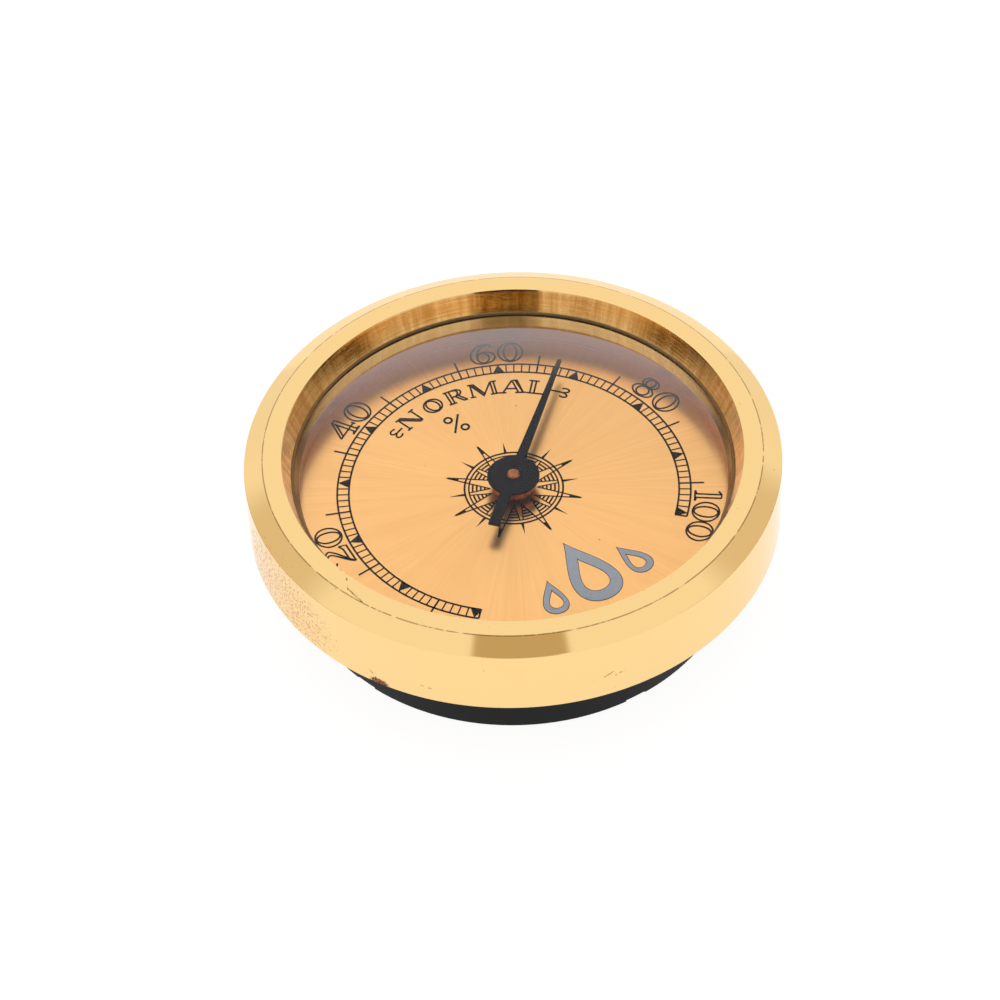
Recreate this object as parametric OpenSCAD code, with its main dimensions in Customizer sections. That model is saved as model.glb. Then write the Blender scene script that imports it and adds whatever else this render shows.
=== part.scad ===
// Dial hygrometer, the inset kind: a turned brass bezel and crystal over a
// printed dial, with a sensing coil behind the dial that turns the pointer.
// Millimetres. Origin at the centre of the back face. +Z comes out of the dial,
// and +Y is the dial's 12 o'clock.

/* [Overall] */
// Height from the back face to the top of the bezel
total_h = 14.4; // [13.5:0.1:20]
// Diameter of the dial plate, which the radial sizes build on
dial_d = 38.4; // [32:0.2:60]

/* [Bezel] */
// Height of the bezel
bezel_h = 7.2; // [6.5:0.1:9]
// Width of the bezel's foot outside the case collar
bezel_foot_w = 2.8; // [1.8:0.1:5]
// Width of the flat ring on top
top_ring_w = 1.6; // [0.6:0.1:1.8]
// Drop of the outer chamfer
bezel_chamfer_h = 0.95; // [0.3:0.05:2]
// Depth of the cone from the flat ring down to the crystal
throat_h = 1.95; // [1:0.05:3]
// How far the cone leans outwards
throat_lean = 0.85; // [0.2:0.05:1.2]
// How far the bezel's lip reaches in over the crystal
lip_overlap = 0.6; // [0.3:0.05:1]
// Radius on the bezel's turned edges
bezel_edge_r = 0.12; // [0.05:0.01:0.25]

/* [Crystal and gasket] */
// Thickness of the crystal
crystal_t = 1; // [0.6:0.1:1.5]
// Rise of the crystal's dome
crystal_dome = 0.6; // [0.2:0.1:1.2]
// Radial gap between the crystal and the bezel
crystal_gap = 0.1; // [0.05:0.01:0.3]
// Thickness of the gasket
gasket_t = 0.2; // [0.1:0.05:0.5]
// How far the gasket shows inside the lip
gasket_show = 0.1; // [0:0.05:0.3]

/* [Dial and spacer ring] */
// Thickness of the dial plate
dial_t = 0.4; // [0.3:0.05:0.8]
// Radial thickness of the spacer ring
spacer_w = 0.8; // [0.7:0.1:1.2]
// Width of the bevel on the spacer ring's inner top edge
spacer_bevel = 0.6; // [0.1:0.05:0.6]
// Width of the locating notch at 6 o'clock
key_w = 1; // [0.6:0.1:2]
// Depth of the locating notch
key_depth = 0.5; // [0.3:0.05:0.7]

/* [Case cup] */
// Thickness of the case wall
case_wall = 1.2; // [0.9:0.1:1.6]
// Thickness of the case floor
floor_t = 1.4; // [1:0.1:2]
// Wall of the collar inside the bezel
collar_wall = 0.9; // [0.7:0.1:1.5]
// Step from the collar in to the case body
collar_step = 1.2; // [0.9:0.1:2]
// Chamfer on the case's bottom edge
case_chamfer = 0.35; // [0.2:0.05:0.8]
// Number of air slots in the floor
slot_count = 12; // [6:1:16]
// Width of an air slot
slot_w = 1.2; // [0.8:0.1:2]
// Diameter of the adjuster hole in the floor
adjuster_hole_d = 5.2; // [4.6:0.1:8]
// Width of a pry notch in the bottom edge
pry_w = 2; // [1:0.1:4]

/* [Movement] */
// Thickness of the bridge
bridge_t = 0.6; // [0.4:0.1:1]
// Width of the bridge's arms
bridge_w = 5; // [4:0.1:7]
// Diameter of a pillar
pillar_d = 2.5; // [2:0.1:3.5]
// Shank diameter of a bridge screw
screw_d = 1; // [0.8:0.1:1.4]
// Head diameter of a bridge screw
screw_head_d = 2.2; // [1.8:0.1:3]
// Head height of a bridge screw
screw_head_h = 0.7; // [0.5:0.1:1]
// Diameter of the calibration bush where it turns in the bridge
bush_d = 3.6; // [3:0.1:4.4]
// Diameter of the calibration bush's flange
flange_d = 5.2; // [4.6:0.1:6]
// Thickness of the anchor arm
arm_t = 0.4; // [0.3:0.05:0.6]
// Width of the anchor arm
arm_w = 1.8; // [1.4:0.1:2.6]
// Diameter of the coil stud
stud_d = 1.5; // [1.2:0.1:2]

/* [Sensing coil] */
// Thickness of the coil's strip
strip_t = 0.2; // [0.1:0.05:0.3]
// Number of turns in the coil
coil_turns = 5; // [3:1:6]
// Diameter of the collet on the pointer shaft
collet_d = 3; // [2.4:0.1:4]

/* [Pointer] */
// Diameter of the pointer shaft
shaft_d = 1.15; // [0.8:0.05:1.4]
// Diameter of the shaft's rear pivot
pivot_d = 0.6; // [0.4:0.05:0.7]
// Outside diameter of the front bush
front_bush_d = 2.6; // [2.2:0.1:3.4]
// Diameter of the pointer's hub
hub_d = 3.9; // [3:0.1:5]
// Height of the pointer's hub
hub_h = 0.85; // [0.5:0.05:1.2]
// Diameter of the pointer's disc
pointer_disc_d = 4.5; // [4:0.1:6]
// Thickness of the pointer
pointer_t = 0.23; // [0.15:0.01:0.4]
// Width of the pointer's arm at the disc and of its tail
pointer_w = 0.95; // [0.6:0.05:1.4]
// Width of the pointer's tip
pointer_tip_w = 0.36; // [0.2:0.02:0.6]
// Length of the pointer's tail from the shaft
tail_len = 6; // [4:0.1:9]
// Gap from the pointer's tip to the spacer ring
tip_gap = 3.8; // [1:0.1:6]
// Reading that the pointer rests at, in percent
reading = 68; // [0:1:100]

/* [Fits] */
// Radial clearance of a running fit
running_gap = 0.04; // [0.02:0.01:0.08]
// Clearance round pieces that drop into place
drop_in_gap = 0.1; // [0.05:0.01:0.3]
// End play of the turning pieces
end_play = 0.1; // [0.05:0.01:0.2]

/* [Hidden] */
$fn = 96;
eps = 0.01;          // overrun of a cutting shape
thread_play = 0.02;  // radial play between a screw and its tapped hole
strip_play = 0.1;    // play beside the strip in its slots
crystal_overhang = 0.3; // crystal's edge beyond the dial plate

// The dial's scale: 270 degrees from 0 to 100 percent, with 50 percent at 12 o'clock
scale_sweep = 270;
reading_angle = 90 - scale_sweep * (reading / 100 - 0.5);

// Radii, from the dial outwards
dial_r = dial_d / 2;
collar_in_r = dial_r + drop_in_gap;
collar_r = collar_in_r + collar_wall;
case_r = collar_r - collar_step;
case_in_r = case_r - case_wall;
bezel_r = collar_r + bezel_foot_w;
crystal_r = dial_r + crystal_overhang;
throat_r = crystal_r - lip_overlap;
top_in_r = throat_r + throat_lean;
top_out_r = top_in_r + top_ring_w;
view_r = dial_r - spacer_w;

// The pointer's stack above the dial
hub_lift = 0.2;      // bottom of the hub's neck
neck_h = 0.35;
neck_d = 2.2;
pin_stand = 0.24;    // shaft standing out of the pointer
glass_gap = 0.28;    // shaft's end to the level of the crystal's underside
neck_z = hub_lift;
hub_z = neck_z + neck_h;
pointer_z = hub_z + hub_h;
pin_top_z = pointer_z + pointer_t + pin_stand;
spacer_h = pin_top_z + glass_gap;

// Heights, from the top down to the dial
seat_z = total_h - throat_h;
crystal_top_z = seat_z - gasket_t;
crystal_z = crystal_top_z - crystal_t;
dial_z = crystal_z - spacer_h;
dial_back_z = dial_z - dial_t;
foot_z = total_h - bezel_h;
collar_top_z = crystal_z - drop_in_gap;

// Heights, from the back up through the movement
head_gap = 0.35;     // case floor to the screw heads
screw_head_z = floor_t + head_gap;
bridge_z = screw_head_z + screw_head_h;
bridge_top_z = bridge_z + bridge_t;
flange_z = bridge_top_z + end_play / 2;
flange_t = 0.4;
arm_z = flange_z + flange_t;
arm_top_z = arm_z + arm_t;
boss_top_z = arm_top_z + end_play;
pivot_shoulder_z = boss_top_z + end_play;
front_bush_depth = 0.6; // front bush below the dial plate
bush_bottom_z = dial_back_z - front_bush_depth;
collet_top_z = bush_bottom_z - end_play;
shoulder_h = 0.4;    // shaft's shoulder below the collet
collet_z = pivot_shoulder_z + shoulder_h;
strip_foot_gap = 0.25; // collet's foot to the strip's lower edge
strip_top_gap = 0.5; // strip's upper edge to the collet's top
strip_z = collet_z + strip_foot_gap;
strip_top_z = collet_top_z - strip_top_gap;

// The adjuster's clip and washer hang below the bridge
washer_t = 0.12;
washer_h = 0.24;
clip_t = 0.26;
clip_z = bridge_z - washer_h - clip_t;
clip_groove = 0.35;  // depth of the groove that the clip sits in
bush_tail_h = 0.85;  // bush below its clip, with the driver slot
bush_tail_z = clip_z - bush_tail_h;

// Places on the bridge and the coil
bridge_clear = 1.5;  // bridge's end to the case wall
arm_rim = 0.5;       // arm's eye round the stud
stud_clear = 1;      // arm's end to a pillar
bridge_end_r = bridge_w / 2;
pillar_x = case_in_r - bridge_end_r - bridge_clear;
arm_end_r = stud_d / 2 + arm_rim;
stud_r = pillar_x - pillar_d / 2 - arm_end_r - stud_clear;
stud_angle = -100;
rivet_r = 0.5;
boss_step = 0.2;     // arm's boss in from the bush
boss_r = bush_d / 2 - boss_step;
bearing_r = 0.9;
bearing_h = 1.4;
bearing_z = boss_top_z - bearing_h;
coil_clear = 0.3;    // collet to the coil's first turn
coil_in_r = collet_d / 2 + coil_clear;
tab_depth = 0.6;     // how far the coil's inner tab reaches into the collet
steps_per_turn = 36;
coil_steps = coil_turns * steps_per_turn;

function arc_points(cx, cy, r, from, to, n) =
    [for (i = [0:n]) let (a = from + (to - from) * i / n)
        [cx + r * cos(a), cy + r * sin(a)]];

// A closed ring with a rectangular section
module ring(r_in, r_out, z0, z1) {
    rotate_extrude()
        translate([r_in, z0])
            square([r_out - r_in, z1 - z0]);
}

module disc(r, z0, z1) {
    translate([0, 0, z0])
        cylinder(r = r, h = z1 - z0);
}

// ---- Bezel, crystal and what they clamp ----

module bezel() {
    e = bezel_edge_r;
    lip_turn = 156;  // angle where the rounded lip meets the cone
    color("gold")
    rotate_extrude()
        polygon(concat(
            [[collar_r, foot_z]],
            arc_points(bezel_r - e, foot_z + e, e, -90, 0, 3),
            [[bezel_r, total_h - bezel_chamfer_h],
             [top_out_r, total_h]],
            arc_points(top_in_r + e, total_h - e, e, 90, lip_turn, 3),
            [[throat_r, seat_z],
             [crystal_r + crystal_gap, seat_z],
             [crystal_r + crystal_gap, crystal_z],
             [collar_r, crystal_z]]));
}

// A dome over a radius that rises by h at the centre, as profile points
function dome_points(r, z, h, n) =
    let (big = (r * r + h * h) / (2 * h), half = asin(r / big))
    arc_points(0, z + h - big, big, 90, 90 - half, n);

// The crystal is flat where the gasket and the spacer ring grip it
module crystal() {
    dome_steps = 12;
    dome_r = throat_r - gasket_show - drop_in_gap;
    under = dome_points(dome_r, crystal_z, crystal_dome, dome_steps);
    color("white", 0.3)
    rotate_extrude()
        polygon(concat(dome_points(dome_r, crystal_top_z, crystal_dome, dome_steps),
            [[crystal_r, crystal_top_z], [crystal_r, crystal_z]],
            [for (i = [dome_steps:-1:0]) under[i]]));
}

module crystal_gasket() {
    color("dimgray")
    ring(throat_r - gasket_show, crystal_r, crystal_top_z, seat_z);
}

module spacer_ring() {
    color("khaki")
    rotate_extrude()
        polygon([[view_r, dial_z], [dial_r, dial_z], [dial_r, crystal_z],
            [view_r + spacer_bevel, crystal_z],
            [view_r, crystal_z - spacer_bevel]]);
}

// ---- Dial ----

module dial_plate() {
    color("goldenrod")
    difference() {
        disc(dial_r, dial_back_z, dial_z);
        disc(front_bush_d / 2, dial_back_z - eps, dial_z + eps);
        translate([-key_w / 2, -dial_r - eps, dial_back_z - eps])
            cube([key_w, key_depth + eps, dial_t + 2 * eps]);
    }
}

module front_bush() {
    bush_flange_t = 0.35;
    bush_flange_w = 0.9;
    stand = hub_lift / 2;
    color("peru")
    difference() {
        union() {
            disc(front_bush_d / 2, bush_bottom_z, dial_z + stand);
            disc(front_bush_d / 2 + bush_flange_w, dial_back_z - bush_flange_t, dial_back_z);
        }
        disc(shaft_d / 2 + running_gap, bush_bottom_z - eps, dial_z + stand + eps);
    }
}

// ---- Case ----

module air_slots() {
    web_in = 3.4;    // floor left round the adjuster hole
    web_out = 3;     // floor left inside the case wall
    from = adjuster_hole_d / 2 + web_in;
    to = case_in_r - web_out;
    for (i = [0:slot_count - 1])
        rotate((i + 0.5) * 360 / slot_count)
            translate([from, -slot_w / 2, -eps])
                union() {
                    cube([to - from, slot_w, floor_t + 2 * eps]);
                    for (x = [0, to - from])
                        translate([x, slot_w / 2, 0])
                            cylinder(d = slot_w, h = floor_t + 2 * eps, $fn = 24);
                }
}

// Two small notches in the bottom edge, for prising the case off the bezel
module pry_notches() {
    pry_depth = 0.5;
    for (a = [-165, -90])
        rotate(a)
            translate([case_r - pry_depth, -pry_w / 2, -eps])
                cube([pry_depth + 1, pry_w, pry_depth + eps]);
}

module case_cup() {
    c = case_chamfer;
    key_stand = 0.8 * dial_t;  // the key stops short of the dial's face
    color("#22252a")
    union() {
        difference() {
            rotate_extrude()
                polygon([[adjuster_hole_d / 2, 0], [case_r - c, 0], [case_r, c],
                    [case_r, foot_z], [collar_r, foot_z], [collar_r, collar_top_z],
                    [collar_in_r, collar_top_z], [collar_in_r, dial_back_z],
                    [case_in_r, dial_back_z], [case_in_r, floor_t],
                    [adjuster_hole_d / 2, floor_t]]);
            air_slots();
            pry_notches();
        }
        // The key that the dial's notch drops over
        translate([-key_w / 2 + drop_in_gap, -collar_in_r - collar_wall / 2,
                dial_back_z - collar_wall])
            cube([key_w - 2 * drop_in_gap,
                collar_wall / 2 + key_depth - drop_in_gap + (collar_in_r - dial_r),
                collar_wall + key_stand]);
    }
}

// ---- Movement, on the back of the dial ----

module at_pillars() {
    for (side = [-1, 1])
        translate([side * pillar_x, 0, 0])
            children();
}

module bridge_pillars() {
    tapped_depth = 2.2;
    color("#b08d57")
    at_pillars()
        difference() {
            disc(pillar_d / 2, bridge_top_z, dial_back_z);
            disc(screw_d / 2 + thread_play, bridge_top_z - eps, bridge_top_z + tapped_depth);
        }
}

module movement_bridge() {
    bridge_rim = 1.6;  // bridge's eye round the bush's flange
    color("#c9a85c")
    difference() {
        union() {
            translate([-pillar_x, -bridge_w / 2, bridge_z])
                cube([2 * pillar_x, bridge_w, bridge_t]);
            at_pillars()
                disc(bridge_end_r, bridge_z, bridge_top_z);
            disc(flange_d / 2 + bridge_rim, bridge_z, bridge_top_z);
        }
        disc(bush_d / 2 + running_gap, bridge_z - eps, bridge_top_z + eps);
        at_pillars()
            disc(screw_d / 2 + drop_in_gap, bridge_z - eps, bridge_top_z + eps);
    }
}

module bridge_screws() {
    shank_in_pillar = 1.9;
    slot = [screw_head_d + 1, 0.3, 0.25];
    color("silver")
    at_pillars()
        difference() {
            union() {
                disc(screw_head_d / 2, screw_head_z, bridge_z);
                disc(screw_d / 2, bridge_z - eps, bridge_top_z + shank_in_pillar);
            }
            translate([-slot[0] / 2, -slot[1] / 2, screw_head_z - eps])
                cube([slot[0], slot[1], slot[2] + eps]);
        }
}

// A dished spring washer between the clip and the bridge
module friction_washer() {
    in_r = bush_d / 2 + 2 * running_gap;
    out_r = flange_d / 2;
    color("lightgray")
    rotate_extrude()
        polygon([[in_r, bridge_z - washer_h], [out_r, bridge_z - washer_t],
            [out_r, bridge_z], [in_r, bridge_z - washer_h + washer_t]]);
}

// ---- The adjuster, which turns the coil's outer end ----

module calibration_bush() {
    driver_slot = [bush_d + 1, 0.5, 0.5];
    color("#c9a85c")
    difference() {
        union() {
            disc(bush_d / 2, bush_tail_z, clip_z);
            disc(bush_d / 2 - clip_groove, clip_z - eps, clip_z + clip_t + eps);
            disc(bush_d / 2, clip_z + clip_t, flange_z + eps);
            disc(flange_d / 2, flange_z, arm_z);
            disc(boss_r, arm_z - eps, boss_top_z);
        }
        disc(bearing_r, bearing_z, boss_top_z + eps);
        translate([-driver_slot[0] / 2, -driver_slot[1] / 2, bush_tail_z - eps])
            cube([driver_slot[0], driver_slot[1], driver_slot[2] + eps]);
    }
}

module rear_bearing() {
    color("firebrick")
    ring(pivot_d / 2 + running_gap, bearing_r, bearing_z, boss_top_z);
}

module retaining_clip() {
    clip_mouth = 1.8;
    in_r = bush_d / 2 - clip_groove;
    color("silver")
    difference() {
        ring(in_r, flange_d / 2, clip_z, clip_z + clip_t);
        translate([0, -clip_mouth / 2, clip_z - eps])
            cube([flange_d, clip_mouth, clip_t + 2 * eps]);
    }
}

module anchor_arm() {
    color("#c9a85c")
    translate([0, 0, arm_z])
        linear_extrude(arm_t)
            difference() {
                union() {
                    circle(d = flange_d);
                    rotate(stud_angle) {
                        translate([0, -arm_w / 2])
                            square([stud_r, arm_w]);
                        translate([stud_r, 0])
                            circle(arm_end_r);
                    }
                }
                circle(boss_r);
                rotate(stud_angle)
                    translate([stud_r, 0])
                        circle(rivet_r);
            }
}

module coil_stud() {
    stud_stand = 0.3;  // stud above the strip
    color("#b08d57")
    rotate(stud_angle)
        translate([stud_r, 0, 0])
            difference() {
                union() {
                    disc(rivet_r, arm_z, arm_top_z + eps);
                    disc(stud_d / 2, arm_top_z, strip_top_z + stud_stand);
                }
                translate([-strip_t / 2 - strip_play, -stud_d, strip_z])
                    cube([strip_t + 2 * strip_play, 2 * stud_d, strip_top_z]);
            }
}

// The coil's centre line: a spiral from a tab in the collet to a straight tail
// through the stud
function coil_r(t) = coil_in_r + (stud_r - coil_in_r) * t;
function coil_a(t) = stud_angle - 360 * coil_turns * (1 - t);
function coil_line(offset) =
    [for (i = [0:coil_steps]) let (t = i / coil_steps)
        (coil_r(t) + offset) * [cos(coil_a(t)), sin(coil_a(t))]];

module sensing_coil() {
    tail_stand = 0.4;  // strip's tail past the stud
    tail = stud_d / 2 + tail_stand;
    color("#8d8f94")
    translate([0, 0, strip_z])
        linear_extrude(strip_top_z - strip_z)
            union() {
                polygon(concat(coil_line(strip_t / 2),
                    [for (i = [coil_steps:-1:0]) coil_line(-strip_t / 2)[i]]));
                rotate(stud_angle)
                    translate([stud_r - strip_t / 2, -eps])
                        square([strip_t, tail]);
                rotate(coil_a(0))
                    translate([collet_d / 2 - tab_depth, -strip_t / 2])
                        square([coil_in_r + strip_t / 2 - collet_d / 2 + tab_depth, strip_t]);
            }
}

// ---- The pointer and its shaft ----

module coil_collet() {
    color("#c9a85c")
    difference() {
        ring(shaft_d / 2, collet_d / 2, collet_z, collet_top_z);
        rotate(coil_a(0))
            translate([collet_d / 2 - tab_depth - strip_play, -strip_t / 2 - strip_play, strip_z])
                cube([collet_d, strip_t + 2 * strip_play, collet_top_z]);
    }
}

module pointer_shaft() {
    tip_round = 0.12;
    top = dial_z + pin_top_z;
    color("#c77b4a")
    union() {
        disc(pivot_d / 2, bearing_z + 2 * end_play, pivot_shoulder_z + eps);
        disc(shaft_d / 2, pivot_shoulder_z, top - tip_round);
        translate([0, 0, top - tip_round])
            cylinder(r1 = shaft_d / 2, r2 = shaft_d / 2 - tip_round, h = tip_round);
    }
}

module pointer_hub() {
    color("#c77b4a")
    difference() {
        union() {
            disc(neck_d / 2, dial_z + neck_z, dial_z + hub_z + eps);
            disc(hub_d / 2, dial_z + hub_z, dial_z + pointer_z);
        }
        disc(shaft_d / 2, dial_z + neck_z - eps, dial_z + pointer_z + eps);
    }
}

module pointer() {
    tip_r = view_r - tip_gap;
    color("#25262a")
    translate([0, 0, dial_z + pointer_z])
        linear_extrude(pointer_t)
            difference() {
                union() {
                    circle(d = pointer_disc_d);
                    rotate(reading_angle) {
                        polygon([[0, pointer_w / 2], [0, -pointer_w / 2],
                            [tip_r, -pointer_tip_w / 2], [tip_r, pointer_tip_w / 2]]);
                        translate([-tail_len, -pointer_w / 2])
                            square([tail_len, pointer_w]);
                    }
                }
                circle(d = shaft_d);
            }
}

bezel();
crystal();
crystal_gasket();
spacer_ring();
dial_plate();
case_cup();
bridge_pillars();
movement_bridge();
bridge_screws();
front_bush();
friction_washer();
calibration_bush();
rear_bearing();
retaining_clip();
anchor_arm();
coil_stud();
sensing_coil();
coil_collet();
pointer_shaft();
pointer_hub();
pointer();
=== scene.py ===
import math

import bmesh
import bpy
from mathutils import Matrix, Vector


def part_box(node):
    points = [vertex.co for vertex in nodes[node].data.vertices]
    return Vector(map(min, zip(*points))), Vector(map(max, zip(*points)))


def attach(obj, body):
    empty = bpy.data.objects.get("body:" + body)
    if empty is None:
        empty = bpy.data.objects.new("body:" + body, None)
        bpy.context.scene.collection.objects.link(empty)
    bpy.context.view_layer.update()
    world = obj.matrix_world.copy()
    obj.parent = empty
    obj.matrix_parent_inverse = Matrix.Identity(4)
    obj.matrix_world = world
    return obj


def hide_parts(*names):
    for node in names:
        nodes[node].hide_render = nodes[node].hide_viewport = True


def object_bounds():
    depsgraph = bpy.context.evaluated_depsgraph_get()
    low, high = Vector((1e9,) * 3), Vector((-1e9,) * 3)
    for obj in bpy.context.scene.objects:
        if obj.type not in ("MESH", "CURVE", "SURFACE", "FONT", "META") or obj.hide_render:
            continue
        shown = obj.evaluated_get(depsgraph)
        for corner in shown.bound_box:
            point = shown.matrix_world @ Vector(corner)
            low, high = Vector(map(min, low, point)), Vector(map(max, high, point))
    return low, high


# Dial hygrometer, the inset kind: polished brass bezel, domed crystal, gilt dial
# with printed scale, and a black case cup. Everything is in metres in the CAD frame.

MM = 0.001
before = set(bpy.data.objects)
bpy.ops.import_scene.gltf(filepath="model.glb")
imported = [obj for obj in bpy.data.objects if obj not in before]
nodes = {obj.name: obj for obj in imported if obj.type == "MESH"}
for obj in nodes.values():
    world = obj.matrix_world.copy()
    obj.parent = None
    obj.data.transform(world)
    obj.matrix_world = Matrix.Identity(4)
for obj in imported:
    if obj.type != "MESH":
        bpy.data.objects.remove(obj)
cad_low, cad_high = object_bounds()


def top_of(node):
    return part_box(node)[1].z


def foot_of(node):
    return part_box(node)[0].z


def radius_of(node):
    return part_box(node)[1].x


# ---------------------------------------------------------------- sizes

ROUND_STEPS = 288
BEZEL_R = radius_of("bezel")
BEZEL_TOP = top_of("bezel")
BEZEL_FOOT = foot_of("bezel")
CREASE_R = BEZEL_R - 1.65 * MM
LIP_R = CREASE_R - 1.6 * MM
CHAMFER_DROP = 0.95 * MM
SEAT_Z = foot_of("crystal_gasket") + 0.1 * MM
THROAT_R = LIP_R - 0.85 * MM
BORE_R = 20.2 * MM
CRYSTAL_R = radius_of("crystal")
CRYSTAL_FOOT = foot_of("crystal")
CRYSTAL_T = 1.0 * MM
DOME_RISE = 0.6 * MM
DOME_R = 18.7 * MM
SHOULDER = 4.5
CRYSTAL_STEPS = 192
SPACER_TOP = top_of("spacer_ring")
SPACER_W = 0.8 * MM
SPACER_BEVEL = 0.6 * MM
DIAL_TOP = top_of("dial_plate")
DIAL_R = radius_of("dial_plate")

INK_T = 0.018 * MM
HAIR = 0.12 * MM
LINE = 0.165 * MM
ARC_STEP = 1.2
MITRE_LIMIT = 0.5
PERCENT_DEG = 2.7
SCALE_START = -135.0
BAND_IN = 14.2 * MM
BAND_OUT = 15.2 * MM
FIVE_OUT = 16.35 * MM
NUMERAL_R = 16.72 * MM
NUMERAL_H = 2.35 * MM
WORD_R = 12.4 * MM
WORD_H = 1.536 * MM


# ---------------------------------------------------------------- shader helpers


def feed(tree, value, target):
    """A socket is linked, and a number or a colour is set."""
    if isinstance(value, bpy.types.NodeSocket):
        tree.links.new(value, target)
    else:
        target.default_value = value


def reckon(tree, operation, first, second=0.0, third=0.0, clamp=False):
    made = tree.nodes.new("ShaderNodeMath")
    made.operation = operation
    made.use_clamp = clamp
    feed(tree, first, made.inputs[0])
    feed(tree, second, made.inputs[1])
    feed(tree, third, made.inputs[2])
    return made.outputs[0]


def vector_reckon(tree, operation, first, second=(0, 0, 0)):
    made = tree.nodes.new("ShaderNodeVectorMath")
    made.operation = operation
    feed(tree, first, made.inputs[0])
    if operation == "SCALE":
        feed(tree, second, made.inputs["Scale"])
    else:
        feed(tree, second, made.inputs[1])
    if operation in ("DOT_PRODUCT", "LENGTH", "DISTANCE"):
        return made.outputs["Value"]
    return made.outputs["Vector"]


def ramp(tree, value, low, high, from_value=0.0, to_value=1.0):
    """A smooth step of value between low and high."""
    made = tree.nodes.new("ShaderNodeMapRange")
    made.interpolation_type = "SMOOTHSTEP"
    feed(tree, value, made.inputs["Value"])
    feed(tree, low, made.inputs["From Min"])
    feed(tree, high, made.inputs["From Max"])
    feed(tree, from_value, made.inputs["To Min"])
    feed(tree, to_value, made.inputs["To Max"])
    return made.outputs["Result"]


def mix_colour(tree, share, first, second):
    made = tree.nodes.new("ShaderNodeMix")
    made.data_type = "RGBA"
    feed(tree, share, made.inputs["Factor"])
    feed(tree, first, made.inputs["A"])
    feed(tree, second, made.inputs["B"])
    return made.outputs["Result"]


def noise(tree, vector, scale, detail=3.0, rough=0.5):
    made = tree.nodes.new("ShaderNodeTexNoise")
    feed(tree, vector, made.inputs["Vector"])
    feed(tree, scale, made.inputs["Scale"])
    feed(tree, detail, made.inputs["Detail"])
    feed(tree, rough, made.inputs["Roughness"])
    return made.outputs["Fac"]


def group(name, takes, gives):
    """A node group with named sockets: {name: (type, value)} in, {name: type} out."""
    tree = bpy.data.node_groups.new(name, "ShaderNodeTree")
    for label, (kind, value) in takes.items():
        socket = tree.interface.new_socket(name=label, in_out="INPUT", socket_type=kind)
        socket.default_value = value
    for label, kind in gives.items():
        tree.interface.new_socket(name=label, in_out="OUTPUT", socket_type=kind)
    start = tree.nodes.new("NodeGroupInput")
    end = tree.nodes.new("NodeGroupOutput")
    return tree, start.outputs, end.inputs


def use(tree, made_group, **values):
    """Places a group in a material and sets its inputs, named with _ for spaces."""
    placed = tree.nodes.new("ShaderNodeGroup")
    placed.node_tree = made_group
    for label, value in values.items():
        feed(tree, value, placed.inputs[label.replace("_", " ")])
    return placed.outputs


def finish_of(name):
    """A new material with an empty tree, its Principled shader and its output."""
    material = bpy.data.materials.new(name)
    material.use_nodes = True
    tree = material.node_tree
    tree.nodes.clear()
    shader = tree.nodes.new("ShaderNodeBsdfPrincipled")
    output = tree.nodes.new("ShaderNodeOutputMaterial")
    tree.links.new(shader.outputs["BSDF"], output.inputs["Surface"])
    return material, tree, shader, output


def dress(tree, shader, colour, rough, normal):
    """Links the colour, the roughness and the relief of a finish."""
    tree.links.new(colour, shader.inputs["Base Color"])
    tree.links.new(rough, shader.inputs["Roughness"])
    tree.links.new(normal, shader.inputs["Normal"])


def bump(tree, height, strength, distance):
    made = tree.nodes.new("ShaderNodeBump")
    feed(tree, height, made.inputs["Height"])
    made.inputs["Strength"].default_value = strength
    made.inputs["Distance"].default_value = distance
    return made.outputs["Normal"]


def object_place(tree):
    """The surface point in millimetres, in the CAD frame."""
    place = tree.nodes.new("ShaderNodeTexCoord").outputs["Object"]
    return vector_reckon(tree, "SCALE", place, 1000.0)


# ---------------------------------------------------------------- shared effects


def make_turned_place():
    """Where a point lies on a turned part: its radius, height and direction round."""
    tree, _, gives = group(
        "turned place",
        {},
        {
            "Place": "NodeSocketVector",
            "Radius": "NodeSocketFloat",
            "Height": "NodeSocketFloat",
            "Round": "NodeSocketVector",
        },
    )
    place = object_place(tree)
    flat = vector_reckon(tree, "MULTIPLY", place, (1, 1, 0))
    split = tree.nodes.new("ShaderNodeSeparateXYZ")
    tree.links.new(place, split.inputs[0])
    tree.links.new(place, gives["Place"])
    tree.links.new(vector_reckon(tree, "LENGTH", flat), gives["Radius"])
    tree.links.new(split.outputs["Z"], gives["Height"])
    tree.links.new(vector_reckon(tree, "NORMALIZE", flat), gives["Round"])
    return tree


def make_turning_marks(turned_place):
    """Fine lines left by the lathe: they run round, and vary across."""
    tree, takes, gives = group(
        "turning marks",
        {"Fineness": ("NodeSocketFloat", 8.0), "Run": ("NodeSocketFloat", 1.5)},
        {"Mark": "NodeSocketFloat"},
    )
    at = use(tree, turned_place)
    across = reckon(tree, "ADD", at["Radius"], at["Height"])
    across = reckon(tree, "MULTIPLY", across, takes["Fineness"])
    up = tree.nodes.new("ShaderNodeCombineXYZ")
    tree.links.new(across, up.inputs["Z"])
    around = vector_reckon(tree, "SCALE", at["Round"], takes["Run"])
    point = vector_reckon(tree, "ADD", around, up.outputs[0])
    tree.links.new(noise(tree, point, 1.0, 4.0, 0.65), gives["Mark"])
    return tree


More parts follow.
